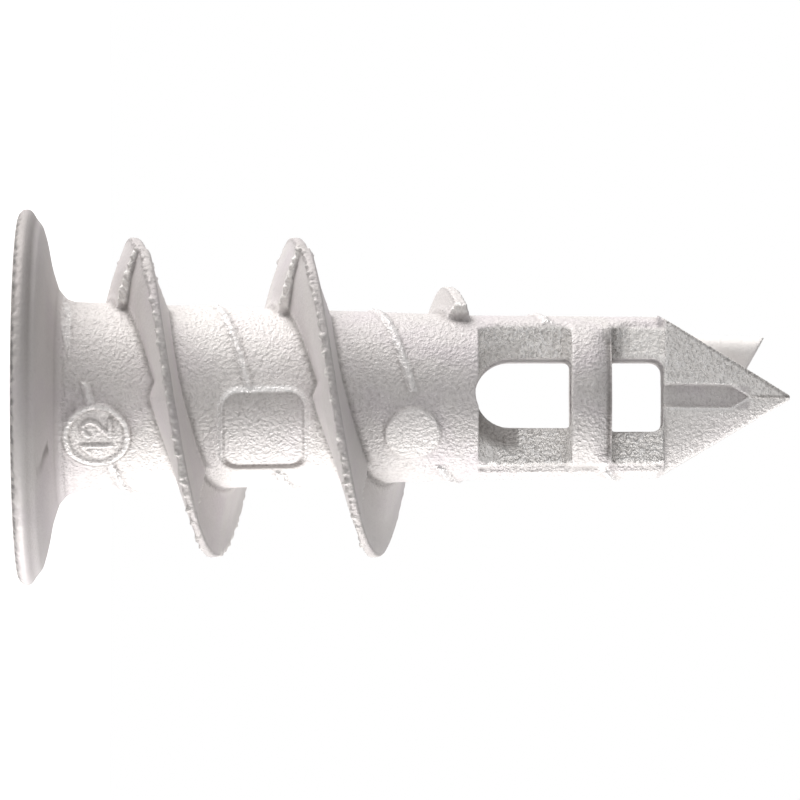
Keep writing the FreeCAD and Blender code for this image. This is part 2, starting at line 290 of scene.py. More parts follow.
class Shader:
    """A material or world tree that nodes are added to with one method."""

    def __init__(self, owner):
        owner.use_nodes = True
        self.tree = owner.node_tree
        self.tree.nodes.clear()

    def node(self, kind, settings=None, inputs=None, output=0):
        made = self.tree.nodes.new(kind)
        for name, value in (settings or {}).items():
            setattr(made, name, value)
        for name, value in (inputs or {}).items():
            if isinstance(value, Socket):
                self.tree.links.new(value.output, made.inputs[name])
            else:
                made.inputs[name].default_value = value
        if not made.outputs:
            return made
        return Socket(self, made.outputs[output])

    def background_rays(self):
        """One for rays from the camera and for what metal and glass show, nought for light on the object."""
        kinds = ("Camera", "Glossy", "Transmission")
        rays = [self.node("ShaderNodeLightPath", output=f"Is {kind} Ray") for kind in kinds]
        return (rays[0] + rays[1] + rays[2]).clamped()

    def mixed(self, share, first, second):
        values = dict(zip(COLOUR_MIX_INPUTS, (share, first, second)))
        settings = {"data_type": "RGBA", "clamp_factor": True}
        return self.node("ShaderNodeMix", settings, values, output=COLOUR_MIX_OUTPUT)

    def attribute(self, name):
        return self.node("ShaderNodeAttribute", {"attribute_name": name}, output="Fac")

    def noise(self, place, size, detail=2.0, roughness=0.5, distortion=0.0):
        return self.node("ShaderNodeTexNoise", {"noise_dimensions": "3D"}, {
            "Vector": place, "Scale": 1 / size, "Detail": detail, "Roughness": roughness,
            "Distortion": distortion,
        })


def opaque(tint):
    return (*tint, 1.0)


def zinc_material(finish):
    """Zinc as cast: fine grain, coarse sand in the pockets, painted shade in corners, hollows and pits,
    painted light on the flats and other parts, and painted highlights on edges and grain tops.
    """
    material = bpy.data.materials.new("cast_zinc")
    shader = Shader(material)
    place = shader.node("ShaderNodeTexCoord", output="Object")
    # the pale, hollow, edge and painted shade shares carry painted light, painted shade and painted
    # highlights
    grain_zone, sand_zone, painted_light_zone, hollow, edge, film, burr = [
        shader.attribute(name) for name in ("grain", "sand", "pale", "hollow", "edge", "film", "burr")
    ]

    fine = shader.noise(place, finish.grain_size, detail=1.0, roughness=0.6)
    wide = shader.noise(place, finish.grain_size * 3)
    sand = shader.noise(place, finish.sand_size, detail=1.0, roughness=0.7)
    clods = shader.noise(place, finish.sand_size * 2.4, detail=1.0, distortion=0.3)
    patches = shader.noise(place, finish.patch_size, detail=3.0, distortion=0.8)
    scuffs = shader.noise(place, finish.scuff_size, detail=4.0, roughness=0.7)

    wide_depth = finish.grain_depth * 0.35
    clod_depth = finish.sand_depth * 0.25
    scuff_depth = finish.grain_depth * 0.3
    height = (
        grain_zone * (fine * finish.grain_depth + wide * wide_depth)
        + sand_zone * (sand * finish.sand_depth + clods * clod_depth)
        + scuffs * scuff_depth
    )
    normal = shader.node("ShaderNodeBump", None, {"Strength": 1.0, "Distance": 1.0, "Height": height})

    bloomed = ((patches - 0.45) * 4).clamped() * 0.8
    # painted shade in the low places of the grain and sand
    pits = ((0.5 - fine) * grain_zone * 0.8 + (0.475 - sand) * sand_zone * 1.4).clamped()
    # painted highlight on the high places of the grain and sand
    grain_highlights = ((sand - 0.48) * sand_zone * 5.5 + (fine - 0.5) * grain_zone * 0.7).clamped()
    # painted shade in hollows and where shade falls, with the painted shade in the grain's pits
    shade_share = (hollow * 0.55 + pits + film).clamped()
    # painted highlight on edges and bright lines
    edge_highlight = (edge * 0.1).clamped()
    skin = opaque(finish.light)
    layers = [
        # painted light where the pale share lies
        (bloomed, finish.bloom), (painted_light_zone, finish.painted_light_colour), (grain_highlights, finish.grain_highlight),
        (shade_share, finish.shade), (burr, finish.burr), (edge_highlight, finish.edge_highlight),
    ]
    for share, tint in layers:
        skin = shader.mixed(share, skin, opaque(tint))

    roughness = finish.roughness + (scuffs - 0.5) * 0.25 + hollow * 0.2 - edge * 0.08
    surface = shader.node("ShaderNodeBsdfPrincipled", None, {
        "Base Color": skin, "Roughness": roughness.clamped(), "Metallic": finish.metallic, "Normal": normal,
        "Specular IOR Level": 0.25,
    })
    shader.node("ShaderNodeOutputMaterial", None, {"Surface": surface})
    return material


# the cast mesh, worked out in millimetres

def millimetres(group):
    """A property group's values, its lengths in millimetres and its angles and shares as they are."""
    values = {}
    for name in group.__annotations__:
        is_length = group.bl_rna.properties[name].unit == "LENGTH"
        values[name] = getattr(group, name) / MM if is_length else getattr(group, name)
    return SimpleNamespace(**values)


def smooth_step(start, end, value):
    """A share that goes smoothly from 0 at start to 1 at end, whichever of them is larger."""
    share = np.clip((value - start) / (end - start), 0, 1)
    return share * share * (3 - 2 * share)


def stripe(value, start, full, last, end):
    """A share that rises from start to full and falls from last to end."""
    return smooth_step(start, full, value) * smooth_step(end, last, value)


class CastMesh:
    """Corner points and four-cornered faces of the casting, with the steps that shape them."""

    def __init__(self, points, quads):
        self.points = points
        self.quads = quads
        ends = np.concatenate([quads[:, [i, (i + 1) % 4]] for i in range(4)])
        ends.sort(axis=1)
        self.edges = np.unique(ends, axis=0)
        self.degree = np.bincount(self.edges.ravel(), minlength=len(points)).astype(float)

    def neighbours(self, values):
        """The mean of the values at each point's neighbours."""
        first, last = self.edges.T
        columns = []
        for column in values.T:
            total = np.bincount(first, column[last], len(values))
            total += np.bincount(last, column[first], len(values))
            columns.append(total / self.degree)
        return np.array(columns).T

    def relax(self, rounds, share=0.5, back=0.0, mask=None):
        """Draws points towards their neighbours, and pushes them back by the share called back."""
        for _ in range(rounds):
            for step in (share, -back):
                if step:
                    move = (self.neighbours(self.points) - self.points) * step
                    self.points = self.points + (move if mask is None else move * mask[:, None])

    def normals(self):
        """The direction away from the metal at each point, one long."""
        corners = self.points[self.quads]
        face = np.cross(corners[:, 2] - corners[:, 0], corners[:, 3] - corners[:, 1])
        total = np.zeros_like(self.points)
        for axis in range(3):
            for corner in range(4):
                total[:, axis] += np.bincount(self.quads[:, corner], face[:, axis], len(total))
        return total / np.linalg.norm(total, axis=1, keepdims=True)

    def averaged(self, values, rounds):
        """The values, each mixed half and half with those of its neighbours in every round."""
        values = values[:, None]
        for _ in range(rounds):
            values = 0.5 * values + 0.5 * self.neighbours(values)
        return values[:, 0]

    def polar(self):
        """Distance from the axis, turn about it in degrees, and height."""
        x, y, z = self.points.T
        return np.hypot(x, y), np.degrees(np.arctan2(y, x)) % 360, z

    def set_radius(self, radius):
        """Moves each point to the given distance from the axis."""
        rho = np.hypot(self.points[:, 0], self.points[:, 1])
        self.points[:, :2] *= (radius / np.maximum(rho, TINY))[:, None]


def remeshed(sizes):
    """The casting's CAD mesh, made anew from small even quads."""
    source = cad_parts[CAST_NODE].data.copy()
    source.transform(Matrix.Scale(1 / MM, 4))
    draft = bpy.data.objects.new("cast_draft", source)
    bpy.context.scene.collection.objects.link(draft)
    voxels = draft.modifiers.new("voxels", "REMESH")
    voxels.mode = "VOXEL"
    voxels.voxel_size = sizes.voxel
    shown = draft.evaluated_get(bpy.context.evaluated_depsgraph_get()).to_mesh()
    points = np.zeros(len(shown.vertices) * 3, np.float32)
    shown.vertices.foreach_get("co", points)
    corners = np.zeros(len(shown.loops), np.int32)
    shown.loops.foreach_get("vertex_index", corners)
    if len(corners) != 4 * len(shown.polygons):
        raise RuntimeError("the remeshed casting has to be all quads")
    cast = CastMesh(points.reshape(-1, 3).astype(float), corners.reshape(-1, 4))
    bpy.data.objects.remove(draft)
    bpy.data.meshes.remove(source)
    return cast


def body_radius(z, sizes):
    """The radius of the body's taper at each height."""
    heights = [sizes.neck_height, sizes.waist_height, sizes.shoulder_height]
    radii = [sizes.neck_radius, sizes.waist_radius, sizes.shoulder_radius]
    return np.interp(z, heights, radii)


def lower_half(x, y):
    """Which points lie in the half of each side that is the lower one in the photograph's view."""
    return x * y < 0


def lower_share(x, y):
    """The same half as a share that fades in across the middle."""
    return smooth_step(0.6, -1.2, x * np.sign(y))


def pad_outlines(cast, sizes):
    """For each pad: how far each point lies outside its outline, and how squarely it lies below the pad."""
    rho, turn, z = cast.polar()
    on_body = np.abs(rho - body_radius(z, sizes)) < 0.3
    pads = {
        "mark": (sizes.mark_turn, sizes.mark_height, *[sizes.mark_radius] * 3),
        "square": (
            sizes.square_turn, sizes.square_height, sizes.square_size / 2, sizes.square_depth / 2,
            sizes.square_round,
        ),
        "plain": (sizes.plain_turn, sizes.plain_height, *[sizes.plain_radius] * 3),
    }
    found = {}
    for name, (pad_turn, height, half_long, half_deep, corner) in pads.items():
        angle = np.radians(turn) - pad_turn
        down = rho * np.sin(angle)
        past_long = np.abs(z - height) - (half_long - corner)
        past_deep = np.abs(down) - (half_deep - corner)
        reach = np.hypot(np.maximum(past_long, 0), np.maximum(past_deep, 0))
        distance = reach + np.minimum(np.maximum(past_long, past_deep), 0) - corner
        below = np.sign(down) * np.maximum(past_deep, 0) / np.maximum(reach, TINY)
        this_side = (np.cos(angle) > 0.5) & on_body
        found[name] = SimpleNamespace(distance=np.where(this_side, distance, FAR), below=below)
    return SimpleNamespace(**found)


class Zones:
    """Where each point of the casting lies, as shares from 0 to 1."""

    def __init__(self, cast, sizes):
        rho, turn, z = cast.polar()
        body = body_radius(z, sizes)
        fin_rise = (z - sizes.fin_height_at_zero) / sizes.fin_pitch * 360
        wound = turn + 360 * np.round((fin_rise - turn) / 360)
        # what the steps below ask of each point
        at = SimpleNamespace(
            x=cast.points[:, 0], y=cast.points[:, 1], z=z, rho=rho, turn=turn, wound=wound,
            body=body, proud=rho - body, normal=cast.normals(), below_waist=z < sizes.waist_height,
            from_fin=z - (sizes.fin_height_at_zero + sizes.fin_pitch * wound / 360),
        )
        self.find_fin(sizes, at)
        self.find_steps(cast, at)
        self.find_rib(cast, sizes, at)
        self.find_flange(at)
        self.find_windows(sizes, at)
        self.find_tip(sizes, at)

    def find_fin(self, sizes, at):
        """The fin, its crest and flanks, and the flash along the crest and on the far rims."""
        outer = sizes.fin_radius
        near_fin = smooth_step(1.9, 1.3, np.abs(at.from_fin))
        near_crest = near_fin * (at.z > FIN_START) * at.below_waist
        self.fin = near_fin * smooth_step(0.2, 0.4, at.proud) * smooth_step(FIN_START, FIN_START + 0.2, at.z)
        self.fin *= at.below_waist
        self.crest = near_crest * smooth_step(outer - 0.2, outer - 0.06, at.rho)
        self.crest_far = self.fin * smooth_step(outer - 0.25, outer - 0.1, at.rho)
        self.crest_far *= smooth_step(-0.08, 0.06, at.from_fin)
        self.flank = self.fin * smooth_step(0.7, 0.9, np.abs(at.normal[:, 2])) * (1 - self.crest)

        on_edge = near_crest * smooth_step(outer - 0.3, outer - 0.1, at.rho)
        near_flash = on_edge * smooth_step(0.05, -0.12, at.from_fin) * smooth_step(1.0, 2.6, np.abs(at.y))
        self.far_flash = on_edge * smooth_step(3.0, 3.8, at.x) * smooth_step(0.2, 1.0, at.y)
        self.far_flash *= 1 - smooth_step(4.4, 5.0, at.x) * (at.z > SECOND_TURN)
        self.flash = np.maximum(near_flash, 0.6 * self.far_flash)

    def find_steps(self, cast, at):
        """The walls where the fin jumps at a parting plane, and the bead of torn metal along them."""
        tangent = np.stack([-np.sin(np.radians(at.turn)), np.cos(np.radians(at.turn)), 0 * at.turn], axis=1)
        across = np.abs((at.normal * tangent).sum(axis=1))
        self.step = self.fin * smooth_step(0.55, 0.8, across)
        spread = cast.averaged(self.step, 6)
        step_turn = cast.averaged(self.step * at.wound, 6) / np.maximum(spread, TINY)
        before_step = (at.wound < step_turn) & (at.normal[:, 2] < 0)
        self.bead = np.maximum(self.step, np.clip(spread * 4, 0, 1) * before_step * self.fin)

    def find_rib(self, cast, sizes, at):
        """The low rib between the fin's turns, the skin beside it and the foot of its sides."""
        rise = (at.z - sizes.fin_height_at_zero) / sizes.fin_pitch - sizes.rib_lead
        off_rib = np.abs((rise * 360 - at.turn + 180) % 360 - 180) / 360 * sizes.fin_pitch
        above_flange = smooth_step(1.4, 1.7, at.z)
        self.near_rib = smooth_step(0.7, 0.5, off_rib) * smooth_step(0.3, 0.22, np.abs(at.proud))
        self.near_rib *= at.below_waist * above_flange
        self.rib = smooth_step(0.45, 0.3, off_rib) * stripe(at.proud, 0.01, 0.05, 0.22, 0.3) * above_flange
        for pad in vars(pad_outlines(cast, sizes)).values():
            self.rib *= smooth_step(0.0, 0.1, pad.distance)
        foot = cast.averaged((self.rib > 0.3).astype(float), 3)
        self.rib_foot = foot * (1 - foot) * 4 * self.near_rib

    def find_flange(self, at):
        """The flange's back, its rim and burr, and the hidden walls of the bore and the head's face."""
        self.flange = smooth_step(at.body + 0.1, at.body + 0.4, at.rho) * smooth_step(1.95, 1.75, at.z)
        self.rim = smooth_step(RIM_START, RIM_START + 0.15, at.rho) * smooth_step(0.3, 0.15, at.z)
        self.rim_edge = smooth_step(6.6, 7.0, at.rho) * smooth_step(0.16, 0.3, at.z)
        self.burr = smooth_step(RIM_START, RIM_START + 0.1, at.rho) * smooth_step(0.17, 0.07, at.z)
        in_bore = smooth_step(1.75, 1.5, at.rho) * at.below_waist
        self.inside = np.clip(in_bore + smooth_step(0.02, 0.0, at.z), 0, 1)

    def find_windows(self, sizes, at):
        """The pockets beside the windows, the edges of their flats and the bar between the windows."""
        web = sizes.web_half
        self.tip = smooth_step(-0.1, 0.1, at.z - sizes.shoulder_height - 0.27)
        in_flats = smooth_step(-0.05, 0.05, at.z - sizes.waist_height)
        sunk = smooth_step(-0.05, -0.13, at.proud) * smooth_step(web - 0.1, web, np.abs(at.y))
        self.pocket = in_flats * (1 - self.tip) * sunk
        on_round = smooth_step(0.2, 0.1, np.abs(at.proud)) * in_flats
        self.flat_edge = on_round * smooth_step(0.2, 0.1, np.abs(np.abs(at.y) - web))
        along_bar = smooth_step(-0.1, 0.0, at.z - sizes.bar_low) * (at.z < sizes.bar_high + 0.05)
        self.bar = along_bar * (at.proud > -0.6) * smooth_step(3.1, 2.6, np.abs(at.x))

    def find_tip(self, sizes, at):
        """The groove in the drill tip and the spur beside it."""
        half = sizes.groove_half
        in_groove = smooth_step(half + 0.04, half - 0.04, np.abs(at.x))
        self.groove = self.tip * in_groove * smooth_step(0.1, -0.1, at.z - sizes.groove_point)
        self.spur = self.tip * smooth_step(0.24, 0.3, at.y) * (at.x < 0.05)


def true_up(cast, sizes):
    """Brings the flat facets of the CAD mesh back onto the round surfaces that they stand for."""
    rho, turn, z = cast.polar()
    outward = (cast.normals()[:, :2] * cast.points[:, :2]).sum(axis=1) / np.maximum(rho, TINY)
    on_body = (outward > 0.985) & (z > sizes.neck_height) & (z < sizes.shoulder_height)
    in_mark = (z < sizes.mark_height + sizes.mark_radius) & (np.cos(np.radians(turn) - sizes.mark_turn) > 0.9)
    body = body_radius(z, sizes)
    radius = rho.copy()
    for share, reach, where in ((0, 0.035, on_body), (0.35, 0.02, on_body & in_mark), (1, 0.035, on_body)):
        gap = body + share * sizes.pad_height - rho
        radius = np.where(where & (np.abs(gap) < reach), rho + gap, radius)
    for target in (sizes.fin_radius, CAD_HIGH.x / MM):
        gap = target - rho
        radius = np.where((gap > -0.012) & (gap < 0.02), target, radius)
    cast.set_radius(radius)


def lumps(points, size, seed):
    """Noise from -1 to 1 at each point, with lumps about as wide as size."""
    shift = Vector((seed * 13.7, seed * 5.1, seed * 9.3))
    return np.array([noise.noise(Vector(p) / size + shift) for p in points])


def push(cast, normal, where, height, width, seed, lift=0.0, least=-math.inf):
    """Moves the points of a zone along their normals, by lumps of the given height and width."""
    chosen = np.nonzero(where > 0.01)[0]
    rise = height * np.maximum(lumps(cast.points[chosen], width, seed) + lift, least)
    cast.points[chosen] += normal[chosen] * (rise * where[chosen])[:, None]


def stroke_distance(x, y, points):
    """How far each place is from a line through the given points."""
    best = np.full(len(x), FAR)
    for (ax, ay), (bx, by) in zip(points, points[1:]):
        dx, dy = bx - ax, by - ay
        share = np.clip(((x - ax) * dx + (y - ay) * dy) / (dx * dx + dy * dy), 0, 1)
        best = np.minimum(best, np.hypot(x - ax - share * dx, y - ay - share * dy))
    return best


def mark_digits():
    """The strokes of a plain 12, one unit high, the start of the line at the left."""
    one = [(-0.62, 0.26), (-0.36, 0.5), (-0.36, -0.5)]
    bowl = [(0.3 + 0.27 * math.cos(a), 0.22 + 0.27 * math.sin(a)) for a in np.linspace(2.9, -0.6, 9)]
    return [one, bowl + [(0.03, -0.48), (0.6, -0.48)]]


def add_digits(cast, normal, sizes, relief):
    """Raises the 12 on the ringed pad, and gives the painted shadow round its strokes."""
    rho, turn, z = cast.polar()
    along = (np.degrees(sizes.mark_turn) - turn) * math.pi / 180 * sizes.neck_radius
    up = sizes.mark_height - z
    in_ring = (np.hypot(along, up) < 1.1) & (np.abs(rho - sizes.neck_radius) < 0.3)
    chosen = np.nonzero(in_ring)[0]
    places = (along[chosen] / DIGIT_SIZE, up[chosen] / DIGIT_SIZE)
    distance = np.minimum.reduce([stroke_distance(*places, stroke) for stroke in mark_digits()])
    height = smooth_step(0.1, 0.03, distance) * relief.digit_height
    cast.points[chosen] += normal[chosen] * height[:, None]
    film = np.zeros(len(cast.points))
    film[chosen] = stripe(distance, 0.06, 0.11, 0.12, 0.19) * 0.35
    return film


def draft_pads(cast, sizes, relief):
    """Slopes the rim of the square pad and lifts the skin at the foot of all pads, as castings have it."""
    wall = smooth_step(0.14, 0.05, np.abs(pad_outlines(cast, sizes).square.distance))
    cast.relax(8, mask=wall)
    rho, _, z = cast.polar()
    body = body_radius(z, sizes)
    outlines = pad_outlines(cast, sizes)
    for distance, strength in ((outlines.mark.distance, 1.0), (outlines.plain.distance, 0.6)):
        rho = rho + stripe(distance, -0.06, 0.06, 0.0, 0.32) * strength * relief.pad_skirt
    square = outlines.square.distance
    draft = relief.pad_draft
    rise = (1 - smooth_step(-0.4 * draft, draft, square)) * sizes.pad_height
    rise += stripe(square, -0.1, 0.1, 0.08, SKIRT_END) * 1.4 * relief.pad_skirt
    rho = np.where(np.abs(square) < draft, body + rise, rho)
    on_skirt = (square >= draft) & (square < SKIRT_END)
    rho = np.where(on_skirt, np.maximum(rho, body + rise), rho)
    cast.set_radius(rho)


def tilt_flats(cast, sizes, relief):
    """Gives the flats the slope that lets them leave the mould: on one side all along, else past the bar."""
    x, y, z = cast.points.T
    web, foot, top = sizes.web_half, sizes.waist_height, sizes.shoulder_height
    floor = stripe(np.abs(y), web - 0.5, web, web + 0.02, web + 0.08)
    floor *= stripe(z, foot - 0.02, foot + 0.1, top + 0.2, top + 0.3)
    floor *= np.where(lower_half(x, y), 1.0, 0.9 * smooth_step(0.3, 0.9, z - sizes.bar_high))
    cast.points[:, 1] -= np.sign(y) * floor * np.maximum(np.abs(x) - TILT_START, 0) * relief.flat_tilt


def round_bar(cast, sizes, relief):
    """Lets the bar between the windows fall away on the side of the tip."""
    rho, _, z = cast.polar()
    x, y, _ = cast.points.T
    start, end = (sizes.bar_low + sizes.bar_high) / 2, sizes.bar_high
    share = np.clip((z - start) / (end - start), 0, 1) ** 2 * smooth_step(2.8, 2.3, np.abs(x))
    cap = body_radius(z, sizes) - share * relief.bar_fall
    on_bar = (z > start) & (z < end + 0.9) & (np.abs(y) > sizes.web_half)
    cast.set_radius(np.where(on_bar, np.minimum(rho, cap), rho))


def swell_knuckle(cast, relief):
    """Bulges the flange's back near its rim."""
    rho, _, z = cast.polar()
    cast.points[:, 2] += stripe(rho, *KNUCKLE_RADII) * smooth_step(0.2, 0.6, z) * relief.knuckle


def crease(cast):
    """Folds the flange's back a little along the crease, and gives the share of the fold at each point."""
    rho, turn, z = cast.polar()
    first_radius, first_turn = CREASE_ROUTE[0]
    last_radius = CREASE_ROUTE[-1][0]
    on_back = (z < 2.2) & (z > 0.4) & (np.abs(turn - first_turn) < 12)
    chosen = np.nonzero(on_back)[0]
    route = [(radius * math.radians(way), radius) for radius, way in CREASE_ROUTE]
    distance = stroke_distance(np.radians(turn[chosen]) * rho[chosen], rho[chosen], route)
    fading = 1 - 0.7 * smooth_step(first_radius, last_radius, rho[chosen])
    share = np.zeros(len(rho))
    share[chosen] = smooth_step(CREASE_WIDTH, 0, distance) * fading
    cast.points[:, 2] -= share * CREASE_DEPTH
    return share


def roughen(cast, normal, zones, relief):
    """Adds the lumps of flash, the torn steps and the soft waves of the skin."""
    seed = relief.seed
    clusters = zones.flash * (0.85 + 0.6 * lumps(cast.points, 0.7, seed + 5))
    # painted light goes on the tops of the flash lumps and on the far flash, less so towards the upper side
    tops = np.clip(lumps(cast.points, FLASH_LUMP, seed) * 3.5 - 0.2, 0, 1) * zones.flash
    tops *= 0.25 + 0.75 * smooth_step(-5.5, 0.0, cast.points[:, 0])
    zones.flash_tops = np.maximum(tops, zones.far_flash)
    waves = 1 - np.maximum(zones.inside, zones.rim)
    push(cast, normal, clusters, relief.crest_lumps, FLASH_LUMP, seed, least=-0.1)
    push(cast, normal, zones.rim, relief.rim_lumps, 0.3, seed + 1)
    push(cast, normal, zones.bead, relief.step_roughness, 0.16, seed + 2, lift=0.4)
    push(cast, normal, zones.rib, relief.rib_lumps, 0.22, seed + 4, lift=-0.3)
    push(cast, normal, waves, relief.skin_unevenness, 1.1, seed + 3)


def shape_cast(sizes, relief):
    """The casting with all its relief, and its zones."""
    cast = remeshed(sizes)
    cast.relax(2, back=0.5)
    true_up(cast, sizes)
    zones = Zones(cast, sizes)
    softened = [
        (12, zones.flank * (1 - zones.bead)), (24, zones.rim_edge), (16, zones.step),
        (10, zones.crest_far), (2, zones.rib), (14, zones.flat_edge),
    ]
    for rounds, mask in softened:
        cast.relax(rounds, mask=mask)
    draft_pads(cast, sizes, relief)
    tilt_flats(cast, sizes, relief)
    round_bar(cast, sizes, relief)
    swell_knuckle(cast, relief)
    cast.relax(1, share=0.4)
    normal = cast.normals()
    roughen(cast, normal, zones, relief)
    zones.digit_film = add_digits(cast, normal, sizes, relief)
    zones.creased = crease(cast)
    return cast, zones


def pad_shade(cast, sizes, outlines):
    """Painted shadow at the lower foot of the pads, and painted shade inside their rims, on the square pad's
    upper part and along both sides of the ring.
    """
    mark, square, plain = outlines.mark, outlines.square, outlines.plain
    films = []
    for pad, strength in ((square, 1.0), (plain, 0.15)):
        films.append(strength * stripe(pad.distance, -0.2, -0.1, 0.1, 0.17) * np.clip(1.4 * pad.below, 0, 1))
        films.append(strength * stripe(pad.distance, -0.1, 0.0, 0.02, 0.34) * np.clip(0.75 * pad.below, 0, 1))
    rho, turn, _ = cast.polar()
    across = rho * np.sin(np.radians(turn) - sizes.square_turn) / (sizes.square_depth / 2)
    films += [
        0.4 * stripe(square.distance, -0.17, -0.09, -0.05, 0.0),
        0.32 * smooth_step(0.0, -0.06, square.distance) * smooth_step(0.1, -1.0, across),
        (0.3 + 0.3 * mark.below) * stripe(mark.distance, -0.02, 0.03, 0.06, 0.12),
        (0.3 - 0.25 * mark.below) * stripe(mark.distance, -0.32, -0.26, -0.22, -0.16),
        0.22 * stripe(plain.distance, -0.07, 0.0, 0.02, 0.08),
    ]
    return np.maximum.reduce(films)


def pad_highlight(outlines):
    """A painted highlight at the upper foot of the square pad and along the ring of the mark."""
    mark, square = outlines.mark, outlines.square
    foot = stripe(square.distance, -0.03, 0.02, 0.12, 0.2) * np.clip(0.6 - 0.8 * square.below, 0, 1)
    ring = stripe(mark.distance, -0.18, -0.13, -0.05, 0.0)
    return np.maximum(9.6 * foot, 4.2 * ring)


def flat_corners(cast, sizes):
    """How near each point is to the outer corners where the flats start."""
    x, _, z = cast.points.T
    along = z - sizes.waist_height - 0.15
    return smooth_step(0.8, 0.45, np.hypot(np.abs(x) - FLAT_CORNER_OUT, 0.7 * along))


def window_shade(cast, zones, sizes):
    """Even painted shade round the nose of the first window, heavier on the lower half, and just before the
    bar.
    """
    x, y, z = cast.points.T
    past = np.hypot(x, z - sizes.nose_height) - sizes.nose_radius
    high = sizes.nose_height + 0.22
    nose = smooth_step(1.0, 0.5, past) * smooth_step(high, high - 0.1, z) * (1 - flat_corners(cast, sizes))
    nose *= np.where(lower_half(x, y), 0.75, 0.25)
    before_bar = 0.2 * smooth_step(-0.45, -0.2, z - sizes.bar_low) * (z < sizes.bar_low + 0.1)
    return zones.pocket * (nose + before_bar)


def part_shade(cast, zones, sizes):
    """Thin painted shade past the bar, beside its wall and over it, and on tip, flange, rim and crest, the
    flange and rim more on their upper side.
    """
    x, y, z = cast.points.T
    lower = lower_half(x, y)
    past_bar = z - sizes.bar_high
    beyond_bar = zones.pocket * smooth_step(0.6, 0.5, past_bar) * (past_bar > -0.02)
    beyond_bar *= np.where(lower, 0.2, 0.35)
    bar_wall = smooth_step(0.13, 0.05, np.abs(past_bar + 0.02)) * smooth_step(1.75, 1.95, np.abs(y))
    bar_wall *= np.where(lower, 0.35, 0.15)
    ridge = 0.6 * smooth_step(0.09, 0.03, np.abs(x + 0.02)) * smooth_step(0.0, 0.2, z - sizes.groove_point)
    point = CAD_HIGH.z / MM
    tip_half = (point - z) * sizes.shoulder_radius / (point - sizes.shoulder_height)
    cutting_edge = 0.5 * zones.tip * smooth_step(0.12, 0.03, np.abs(tip_half - np.abs(x) - 0.03)) * (~lower)
    flange = zones.flange * (0.12 + 0.12 * smooth_step(1.0, -6.0, x))
    rim = 0.35 * smooth_step(7.0, 7.25, np.hypot(x, y)) * smooth_step(3.0, -5.0, x)
    ends = beyond_bar + bar_wall + ridge + cutting_edge
    return ends + flange + rim + 0.3 * zones.crest + 0.08 * zones.bar


def groove_highlight(cast, sizes):
    """A painted highlight along both sides of the tip's groove, stronger on the lower half."""
    x, y, z = cast.points.T
    last, point = sizes.groove_shoulder, sizes.groove_point
    side = sizes.groove_half * np.clip((point - z) / (point - last), 0, 1)
    line = smooth_step(0.09, 0.03, np.abs(np.abs(x) - side - 0.03)) * (z < point)
    return line * np.where(lower_half(x, y), 8.0, 3.0)


def skin_bend(cast):
    """How far each point lies below the softened skin round it: more than 0 in hollows, less on edges."""
    softened = cast.points
    for _ in range(14):
        softened = 0.5 * softened + 0.5 * cast.neighbours(softened)
    return ((softened - cast.points) * cast.normals()).sum(axis=1)


def sand_share(cast, zones, sizes, outlines, window):
    """Where the coarse sandy grain lies: in the pockets, on the tip and a little on steps, bar and pads."""
    x, y, z = cast.points.T
    lower = lower_share(x, y)
    on_tip = zones.tip * (0.7 - 0.6 * lower) * smooth_step(31.2, 29.2, z)
    on_square = 0.12 * smooth_step(-0.1, -0.2, outlines.square.distance)
    on_plain = 0.1 * smooth_step(0.0, -0.1, outlines.plain.distance)
    sand = zones.pocket + on_tip + 0.2 * zones.bead + 0.2 * zones.bar + on_square + on_plain
    # less sand where the window's painted shade lies and in the groove
    shaded = np.clip(2 * window + zones.groove, 0, 1)
    streaked = smooth_step(0.3, 0.9, z - sizes.bar_high) * zones.pocket * (1 - lower)
    kept = (1 - 0.85 * shaded) * (1 - 0.5 * zones.corner) * (1 - 0.6 * streaked) * (1 - zones.spur)
    return np.clip(sand, 0, 1) * kept


def painted_light_share(cast, zones, outlines):
    """Painted light: where the skin is made paler to stand in for light, in the pockets, on the tip, the
    steps, the pads and the body's first turns.
    """
    x, y, z = cast.points.T
    on_tip = zones.tip * (0.85 - 0.35 * lower_share(x, y))
    # painted light on the pockets, the tip (less on its lower half), the steps, the flanks and the flash tops
    bare = zones.pocket + on_tip + zones.bead + 0.06 * zones.flank + zones.flash_tops
    # painted light on the body's first turns, away from fin, crest and the hidden walls
    painted_body_light = 0.4 * stripe(z, *BODY_LIGHT_HEIGHTS)
    painted_body_light *= (1 - zones.fin) * (1 - zones.crest) * (1 - zones.inside)
    on_mark = 0.65 * smooth_step(0.1, -0.1, outlines.mark.distance)
    on_plain = 0.5 * smooth_step(0.1, -0.1, outlines.plain.distance)
    return np.maximum.reduce([bare * (1 - zones.groove), 0.5 * zones.spur, painted_body_light, on_mark, on_plain])


